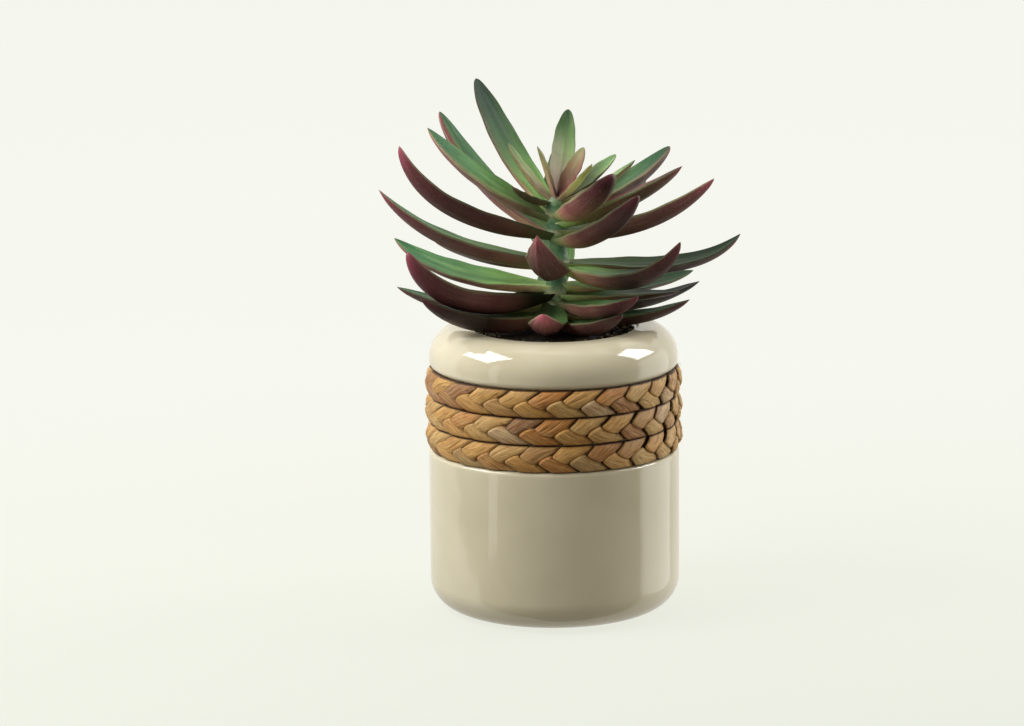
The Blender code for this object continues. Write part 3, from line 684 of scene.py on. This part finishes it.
def make_lobe(shape, covers, row, middle, looks, points, faces, values):
    """One lobe of a plait: a flat bundle of fibres that rises to the band's edge and dips right."""
    angle, fan_low, fan_high, lift, wobble, slide = shape
    seed, tone, width = looks
    steps = LOBE_STEPS
    lanes = LOBE_LANES
    half_band = BAND / 2 - 0.1
    chance = random.Random(int(seed * 1000))
    splits = []
    for _ in range(LOBE_SPLITS):
        where = chance.uniform(-0.8, 0.8)
        splits.append((where, chance.uniform(0.15, 0.55), chance.uniform(0.03, 0.06)))
    start = len(points)
    for i in range(steps):
        s = (i / (steps - 1)) ** 1.5
        nose = min(1.0, s / 0.075)
        swell = sqrt(max(0.0, 1 - (1 - nose) ** 2))
        for turn in turns(lanes):
            t = cos(turn)
            face = sin(turn)
            narrow = width * (0.86 + 0.14 * swell)
            x, v = lobe_end(t * narrow, wobble)
            fan = fan_low + (fan_high - fan_low) * (t + 1) / 2
            fan += 0.1 * sin(seed * 7 + s * 3.0)
            reach = s * LOBE_LENGTH
            x += reach * cos(fan) + slide
            v += reach * sin(fan)
            fall = LOBE_FALL * max(0.0, x + 1.0)
            side = abs(t)
            dome = LOBE_DOME * (1 - side ** 2.2)
            fibres = 0.08 * sin(t * 17 + seed * 11 + 1.2 * sin(s * 5 + seed))
            fibres += 0.06 * sin(t * 41 + seed * 23 + 1.5 * sin(s * 7))
            for where, deep, wide in splits:
                here = where + 0.1 * sin(s * 4 + where * 9)
                fibres -= deep * exp(-((t - here) / wide) ** 2) * min(1.0, s * 5)
            if face >= 0:
                up = LOBE_THICK / 2 * face ** 0.45 * swell + (dome + fibres * face ** 0.5) * swell
            else:
                up = -LOBE_THICK / 2 * abs(face) ** 0.45 * swell - 0.6 * max(0.0, s - 0.1)
            share = v / half_band
            tight = min(1.0, abs(share))
            if abs(share) > 0.84:
                tight = 0.84 + 0.16 * tanh((abs(share) - 0.84) / 0.16)
            over = max(0.0, abs(share) - 0.95)
            clear = min(clear_of(covers[0], angle, x, -v), clear_of(covers[1], angle, x, v))
            dip = LOBE_DIP * unit(1 - clear / 1.8) ** 2
            radius = LOBE_RADIUS + lift - fall - dip + up - BAND_DROP * tight ** 3.4 - 1.8 * over
            radius = max(radius, WAIST_RADIUS + 0.1)
            z = middle + row * copysign(tight, share) * half_band
            a = angle + x / LENGTH_RADIUS
            points.append((radius * sin(a), -radius * cos(a), z))
            shade = lobe_shade(side, clear, s, face, share)
            for key, value in zip(STRAND_VALUES, (reach, t * row, shade, seed, tone)):
                values[key].append(value)
    ring = grid_faces(steps, lanes)
    ring += [tuple(reversed(range(lanes))), tuple((steps - 1) * lanes + k for k in range(lanes))]
    if row < 0:
        ring = [tuple(reversed(f)) for f in ring]
    faces += [tuple(start + v for v in f) for f in ring]


def add_backing(middle, points, faces, values):
    """A dark inner ring of fibre behind the lobes, painted fully in shade, so that the pot doesn't
    show between them.
    """
    around = 180
    half = BAND / 2 - 0.15
    start = len(points)
    inner = WAIST_RADIUS + 0.1
    outline = [(inner, -half), (BACKING_EDGE_RADIUS, -half), (BACKING_RADIUS, -half * 0.6),
               (BACKING_RADIUS, half * 0.6), (BACKING_EDGE_RADIUS, half), (inner, half)]
    for a in turns(around):
        for radius, z in outline:
            points.append((radius * sin(a), -radius * cos(a), middle + z))
    sides = len(outline)
    ring = grid_faces(around, sides)
    last = (around - 1) * sides
    ring += [(last + k, last + (k + 1) % sides, (k + 1) % sides, k) for k in range(sides)]
    faces += [tuple(start + v for v in reversed(f)) for f in ring]
    # the backing takes full painted shade
    for key, value in zip(STRAND_VALUES, (0.0, 0.0, 1.0, 1.0, 0.8)):
        values[key] += [value] * (around * sides)


def make_plait(plait, material):
    """A three-strand plait: lobes above and below its middle by turns, each over the one before."""
    middle = WAIST_BOTTOM + BAND * (plait + 0.5)
    chance = random.Random(90 + plait)
    near = FRONT_TONES[plait]
    strands = [([], [], {key: [] for key in STRAND_VALUES}) for _ in range(STRANDS)]
    shapes = []
    for index in range(2 * LOBES):
        turn = LOBE_TURN[plait] + 180 / LOBES * index + chance.uniform(-0.7, 0.7)
        shapes.append(lobe_shape(radians(turn), chance))
    for index in range(2 * LOBES):
        place_index = index if index < LOBES else index - 2 * LOBES
        row = 1 if index % 2 == 0 else -1
        letter = chance.choice(OTHER_TONES)
        if 0 <= place_index + FRONT_FIRST < len(near):
            letter = near[place_index + FRONT_FIRST]
        tone = (TONES.index(letter) + 0.5 + chance.uniform(-0.16, 0.16)) / len(TONES)
        strand = (index // 2 + 1) % STRANDS if row > 0 else ((index - 1) // 2) % STRANDS
        looks = (index * 0.37 + plait * 5.1 + 0.2, tone, chance.uniform(0.95, 1.04))
        covers = (shapes[(index + 1) % (2 * LOBES)], shapes[(index + 2) % (2 * LOBES)])
        make_lobe(shapes[index], covers, row, middle, looks, *strands[strand])
    add_backing(middle, *strands[0])
    for strand, slot in enumerate(("fibre_gold", "fibre_brown", "fibre_grey")):
        points, faces, values = strands[strand]
        add_piece(f"woven_{plait + 1}_{strand + 1}", points, faces, material,
                  [f"plait_{plait + 1}_strand_{strand + 1}"], values)


def make_frays(material):
    """Thin loose fibres that stand off the plaits."""
    chance = random.Random(41)
    points = []
    faces = []
    run = []
    lane = []
    for index in range(FRAYS):
        anywhere = chance.uniform(0, 2 * pi)
        in_front = radians(-90) + chance.gauss(1.05, 0.25)
        angle = chance.choice((anywhere, in_front))
        height = chance.uniform(WAIST_BOTTOM + 1.5, WAIST_TOP - 1.5)
        length = chance.uniform(3.0, 9.0)
        way = chance.choice((-1, 1))
        slant = chance.uniform(-0.7, 0.7)
        lifted = chance.uniform(0.2, 1.0)
        thick = chance.uniform(0.1, 0.22)
        base = len(points)
        for i in range(FRAY_RINGS):
            share = i / (FRAY_RINGS - 1)
            a = angle + way * length * share / 63.0
            r = LOBE_RADIUS + 0.6 + lifted * sin(pi * min(1.0, share * 1.1) * 0.8)
            z = height + slant * length * share * 0.5
            size = thick * (1 - 0.75 * share)
            for turn in (0, 2 * pi / 3, 4 * pi / 3):
                rr = r + size * cos(turn)
                points.append((rr * cos(a), rr * sin(a), z + size * sin(turn)))
                run.append(index * 13.0 + length * share)
                lane.append(turn)
        faces += [tuple(base + v for v in f) for f in grid_faces(FRAY_RINGS, 3)]
        faces.append((base + 2, base + 1, base))
        end = base + (FRAY_RINGS - 1) * 3
        faces.append((end, end + 1, end + 2))
    count = len(points)
    plain = (np.zeros(count), np.full(count, 4.0), np.full(count, 0.95))
    values = dict(zip(STRAND_VALUES, (run, lane, *plain)))
    add_piece("loose_fibres", points, faces, material, [], values)


def make_mix(material):
    """The top of the planting mix, crumbly and slightly crowned, with a skirt inside the throat."""
    rings = MIX_RINGS
    around = MIX_AROUND
    points = []
    for row in range(rings):
        radius = (MOUTH_RADIUS - 0.15) * (1 - row / rings)
        for a in turns(around):
            x = radius * cos(a)
            y = radius * sin(a)
            clod = 0.55 * sin(x * 0.9 + 1.3 * sin(y * 0.8))
            clod *= cos(y * 1.1 + sin(x * 0.6))
            clod += 0.35 * sin(x * 2.3 + y * 1.1) * sin(y * 2.7 - x * 0.8)
            crown = MIX_CROWN * (1 - (radius / MOUTH_RADIUS) ** 2)
            points.append((x, y, MIX_HEIGHT + crown + clod * 0.8))
    skirt = [(p[0], p[1], MIX_BOTTOM) for p in points[:around]]
    points = skirt + points
    rows = rings + 1
    count = rows * around
    faces = grid_faces(rows, around) + end_faces(rows, around, count + 1, count)
    points += [(0.0, 0.0, MIX_HEIGHT + MIX_CROWN), (0.0, 0.0, MIX_BOTTOM)]
    add_piece("crumbly_mix", points, faces, material, ["planting_mix"])


def make_crumbs(material):
    """Loose crumbs and short threads of yellow moss on the mix, most of them near the rim."""
    chance = random.Random(7)
    steps = (-1, 0, 1)
    corners = [(x, y, z) for x in steps for y in steps for z in steps if x or y or z]
    points = []
    faces = []
    tint = []
    for _ in range(CRUMBS):
        spread = chance.random()
        radius = 39.0 - 9.0 * spread ** 1.8
        angle = chance.uniform(0, 2 * pi)
        golden = chance.random() < 0.42
        size = chance.uniform(0.25, 0.6) if golden else chance.uniform(0.5, 1.5)
        longer = chance.uniform(1.0, 2.6) if golden else chance.uniform(0.8, 1.3)
        turn = Matrix.Rotation(chance.uniform(0, pi), 3, "Z")
        turn = turn @ Matrix.Rotation(chance.uniform(-0.6, 0.6), 3, "X")
        height = MIX_HEIGHT + chance.uniform(0.2, 1.5)
        middle = Vector((radius * cos(angle), radius * sin(angle), height))
        lump = bmesh.new()
        for corner in corners:
            near = Vector(corner).normalized() * size * chance.uniform(0.75, 1.25)
            near = turn @ Vector((near.x * longer, near.y, near.z * 0.8))
            lump.verts.new(middle + near)
        result = bmesh.ops.convex_hull(lump, input=lump.verts)
        inside = [v for v in result["geom_interior"] if isinstance(v, bmesh.types.BMVert)]
        bmesh.ops.delete(lump, geom=inside, context="VERTS")
        base = len(points)
        lump.verts.index_update()
        points += [tuple(v.co) for v in lump.verts]
        faces += [tuple(base + v.index for v in f.verts) for f in lump.faces]
        shade = chance.uniform(0.45, 0.85) if golden else chance.uniform(0.0, 0.4)
        tint += [shade] * len(lump.verts)
        lump.free()
    add_piece("moss_crumbs", points, faces, material, ["moss"], {"tint": tint})


def make_stem(material):
    """The stem, with a swollen collar where each tier of leaves clasps it."""
    levels = np.linspace(STEM_BOTTOM, CROWN_CENTRE[2], STEM_LEVELS)
    around = STEM_AROUND
    points = []
    collar = []
    for z in levels:
        lean, radius = stem_at(z)
        ring = 0.0
        for tier in TIERS:
            ring = max(ring, exp(-((z - tier) / 2.1) ** 2))
        for a in turns(around):
            scar = 0.16 * sin(3 * a + z * 0.9) * sin(z * 1.4)
            r = radius + 0.75 * ring + scar
            points.append((lean + r * cos(a), r * sin(a), z))
            collar.append(min(1.0, ring * (0.75 + 0.25 * sin(4 * a + z))))
    for step in range(1, 9):
        rise = radians(step * 10)
        z = CROWN_CENTRE[2] + CROWN_RADIUS * sin(rise)
        for a in turns(around):
            r = CROWN_RADIUS * cos(rise)
            points.append((CROWN_CENTRE[0] + r * cos(a), r * sin(a), z))
            collar.append(0.3)
    count = len(points)
    rows = count // around
    faces = grid_faces(rows, around) + end_faces(rows, around, count, count + 1)
    points += [(0.0, 0.0, STEM_BOTTOM), (CROWN_CENTRE[0], 0.0, CROWN_CENTRE[2] + CROWN_RADIUS)]
    collar += [0.0, 0.3]
    add_piece("fine_stem", points, faces, material, ["stem"], {"collar": collar})


# ---------------------------------------------------------------- leaves

def leaf_frame(azimuth, rise, roll):
    """The directions across a leaf and up from its face."""
    a = radians(azimuth)
    e = radians(rise)
    up = Vector((-sin(a) * sin(e), cos(a) * sin(e), cos(e)))
    across = heading(azimuth, rise).cross(up)
    turn = radians(roll)
    return across * cos(turn) - up * sin(turn), up * cos(turn) + across * sin(turn)


def leaf_half_width(share, width, foot, blunt, late):
    if share < LEAF_SHOULDER:
        return foot + (width / 2 - foot) * sin(pi / 2 * share / LEAF_SHOULDER)
    fall = ((share - LEAF_SHOULDER) / (1 - LEAF_SHOULDER)) ** late
    return width / 2 * (1 - fall) ** (1.0 - 0.42 * blunt)


def leaf_depth(share, depth, foot, blunt):
    if share < LEAF_DEEPEST:
        return foot + (depth - foot) * sin(pi / 2 * share / LEAF_DEEPEST)
    fall = ((share - LEAF_DEEPEST) / (1 - LEAF_DEEPEST)) ** 2.5
    return depth * (1 - fall) ** (1.0 - 0.35 * blunt)


def make_leaf(name, start, azimuth, size, course, foot, looks, lights, material):
    """One fleshy leaf: channelled above, rounded below, with a thin edge and a foot in the stem.

    Its size is length, width and depth, its course rise at the foot and tip, bend and roll.
    """
    length, width, depth = size
    rise_foot, rise_tip, bend, roll = course
    wine, fresh, blunt, blush, hem = looks
    late, keel, twist = SPEAR_LEAVES.get(name, (LEAF_FALL, LEAF_KEEL, 0))
    node = "leaf_" + name
    seed = sum(ord(c) * (i + 3) for i, c in enumerate(node)) % 97 / 97
    steps = LEAF_STEPS
    shares = [1 - (1 - i / steps) ** 1.25 for i in range(steps)]
    shares[-1] = min(shares[-1], 0.9975)
    painted_shade = [-foot[2] / length * k / 3 for k in (3, 2, 1)]
    rows = []
    values = {key: [] for key in LEAF_VALUES[:3]}
    centre = start.copy()
    previous = 0.0
    inward = heading(azimuth, rise_foot)
    for share in painted_shade + shares:
        if share >= 0:
            half_way = rise_foot + (rise_tip - rise_foot) * ((share + previous) / 2) ** bend
            centre = centre + heading(azimuth, half_way) * (length * (share - previous))
            previous = share
            here = centre
        else:
            here = start + inward * (length * share)
        reach = max(0.0, share)
        rise = rise_foot + (rise_tip - rise_foot) * reach ** bend
        across, up = leaf_frame(azimuth, rise, (roll + twist) * min(1.0, reach * 3))
        half = leaf_half_width(reach, width, foot[0], blunt, late)
        deep = leaf_depth(reach, depth, foot[1], blunt)
        sway = 0.45 * sin(reach * 5.1 + seed * 20) * sin(pi * min(1.0, reach * 1.15))
        middle = here + up * (leaf_depth(reach, depth, 2.7, 0.0) * 0.4) + across * sway
        ripple_size = 0.16 * sin(pi * min(1.0, reach))
        edge = 0.42 * min(1.0, half / 2.5)
        ring = []
        for turn in turns(LEAF_RING):
            s = -cos(turn)
            face = sin(turn)
            wave = ripple_size * sin(reach * 23 + s * 2.2 + seed * 40) * abs(s) ** 2
            if face >= 0:
                n = -LEAF_CHANNEL * half * (1 - abs(s) ** 2.0) + edge * face ** 0.5
                n += 0.05 * half * exp(-((s - 0.1) / 0.16) ** 2) * fold_share(reach)
            else:
                n = -deep * (1 - abs(s) ** 2.3) - edge * abs(face) ** 0.5
                n -= keel * deep * exp(-(s / 0.13) ** 2) * reach
            aside = half * s * (1 + 0.02 * sin(reach * 31 + seed * 9))
            ring.append(middle + across * aside + up * (n + wave))
            for key, value in zip(LEAF_VALUES, (reach, s, unit(face * 4 + 0.5))):
                values[key].append(value)
        rows.append(ring)
    points = [p for ring in rows for p in ring]
    tip = centre + heading(azimuth, rise_tip) * (length * (1 - previous)) + across * sway
    points += [sum(rows[0], Vector()) / LEAF_RING, tip]
    for key, ends in zip(LEAF_VALUES, ((0.0, 1.0), (0.0, 0.0), (0.5, 0.5))):
        values[key] += ends
    count = len(points)
    faces = grid_faces(len(rows), LEAF_RING)
    faces += end_faces(len(rows), LEAF_RING, count - 2, count - 1)
    faces = [tuple(reversed(f)) for f in faces]
    for key, value in zip(LEAF_VALUES[3:], (wine, fresh, blush, hem, seed)):
        values[key] = [value] * count
    # painted light and shade along the leaf, scaled on the upper face
    values["light"] = np.interp(values["along"], (0.12, 0.5, 0.88), lights[:3])
    values["light"] = values["light"] * (1 - (1 - lights[3]) * np.array(values["upper"]))
    add_piece("fine_" + node, points, faces, material, [node], values)


def fold_share(reach):
    """How strongly the middle line shows on the upper face."""
    return max(0.0, 1 - abs(reach - 0.55) / 0.5)


def make_leaves(material):
    for name, row in LEAVES.items():
        azimuth, height = row[:2]
        wine, *others = row[9:13]
        lean, radius = stem_at(height)
        a = radians(azimuth)
        start = Vector((lean + (radius + 0.3) * sin(a), -(radius + 0.3) * cos(a), height))
        make_leaf(name, start, azimuth, row[2:5], row[5:9], LEAF_FOOT, (wine, 0.0, *others),
                  row[13:], material)
    for name, row in YOUNG_LEAVES.items():
        azimuth, length, width, depth, rise_foot, rise_tip, roll = row[:7]
        start = Vector(CROWN_CENTRE) + heading(azimuth, rise_foot) * (CROWN_RADIUS + 0.3)
        course = (rise_foot, rise_tip, 1.0, roll)
        make_leaf(name, start, azimuth, (length, width, depth), course, YOUNG_FOOT, row[7:12],
                  row[12:], material)


# ---------------------------------------------------------------- stage

def add_light(name, azimuth, rise, distance, width, height, power, colour, lighting, mirrored):
    """A soft box that faces the plant and lights matt surfaces, shows in glossy ones, or both."""
    out = heading(azimuth, rise)
    lamp = bpy.data.lights.new(name, "AREA")
    lamp.shape = "RECTANGLE"
    lamp.size = width
    lamp.size_y = height
    lamp.energy = power
    lamp.color = colour
    light = add_object(name, lamp)
    light.location = Vector(LAMP_AIM) + out * distance
    light.rotation_mode = "QUATERNION"
    light.rotation_quaternion = (-out).to_track_quat("-Z", "Y")
    light.visible_diffuse = lighting
    light.visible_glossy = mirrored


def make_world():
    """A white studio, bright behind and dimmer in front, with the plain backdrop for the camera."""
    world = bpy.data.worlds.new("studio")
    bpy.context.scene.world = world
    world.use_nodes = True
    tree = world.node_tree
    seen = tree.nodes["Background"]
    fill(tree, seen, ("Color", "Strength"), (linear(BACKDROP), 1.0))
    around = new(tree, "TexCoord").outputs["Generated"]
    x, y, z = parts_of(tree, around)
    ragged = line(tree, noise(tree, 9.0, at=around), 0.08, -0.04)
    gap = times(tree, between(tree, z, -0.262, -0.232, -0.28, 0.2), between(tree, x, 0.0, -0.3))
    back = maths(tree, "SUBTRACT", maths(tree, "ADD", y, ragged), gap)
    behind = between(tree, back, -0.05, 0.03)
    left = between(tree, x, 0.2, -0.9)
    level = line(tree, behind, WORLD_BEHIND - WORLD_FRONT, WORLD_FRONT)
    level = line(tree, left, WORLD_LEFT, level)
    level = times(tree, level, between(tree, z, -0.75, 0.1, WORLD_BELOW, 1.0))
    unseen = new(tree, "Background")
    tint = mixed(tree, behind, (255, 246, 226), (255, 253, 244))
    fill(tree, unseen, ("Color", "Strength"), (tint, level))
    split_by_camera(tree, 1.0, unseen, seen, "World Output")


def make_floor():
    """A pale floor that the camera sees mostly as a painted glow, a little darker towards the near
    side, fading into the backdrop; it takes a soft shadow.
    """
    mesh = bpy.data.meshes.new("floor")
    corners = ((-1, -1), (1, -1), (1, 1), (-1, 1))
    points = [(x * FLOOR_REACH, y * FLOOR_REACH, FLOOR_LEVEL) for x, y in corners]
    mesh.from_pydata(points, [], [(0, 1, 2, 3)])
    floor = add_object("floor", mesh)
    floor.visible_glossy = False
    floor.visible_diffuse = False
    material, tree = new_material("pale_floor")
    grain = noise(tree, 300.0, 2.0)
    colour = ramp(tree, grain, [(0.3, (240, 241, 233)), (0.7, (246, 247, 240))])
    mesh.materials.append(finished(material, colour, 0.9))
    glow = new(tree, "Emission")
    depth = parts_of(tree, place(tree))[1]
    away = between(tree, depth, FLOOR_NEAR, FLOOR_FAR, smooth=False)
    plug(tree, glow.inputs["Color"], ramp(tree, away, FLOOR_TONES))
    split_by_camera(tree, FLOOR_GLOW, tree.nodes["Principled BSDF"], glow, "Material Output")


def make_camera():
    lens = bpy.data.cameras.new("camera")
    lens.sensor_width = CAMERA_SENSOR
    lens.lens = CAMERA_LENS
    lens.clip_start = 0.05
    lens.clip_end = 50.0
    camera = add_object("camera", lens)
    camera.location = CAMERA_PLACE
    camera.rotation_mode = "QUATERNION"
    level = (Vector(CAMERA_AIM) - Vector(CAMERA_PLACE)).to_track_quat("-Z", "Y")
    roll = Matrix.Rotation(radians(CAMERA_ROLL), 3, "Z").to_quaternion()
    camera.rotation_quaternion = level @ roll
    bpy.context.scene.camera = camera


def build():
    make_pot(glaze_material())
    fibre = fibre_material()
    for plait in range(PLAITS):
        make_plait(plait, fibre)
    make_frays(fibre)
    make_mix(earth_material())
    make_crumbs(crumb_material())
    make_stem(stem_material())
    make_leaves(leaf_material())
    make_world()
    make_floor()
    for name, row in LAMPS.items():
        add_light(name, *row)
    make_camera()
    bpy.context.scene.view_settings.view_transform = "Standard"


build()
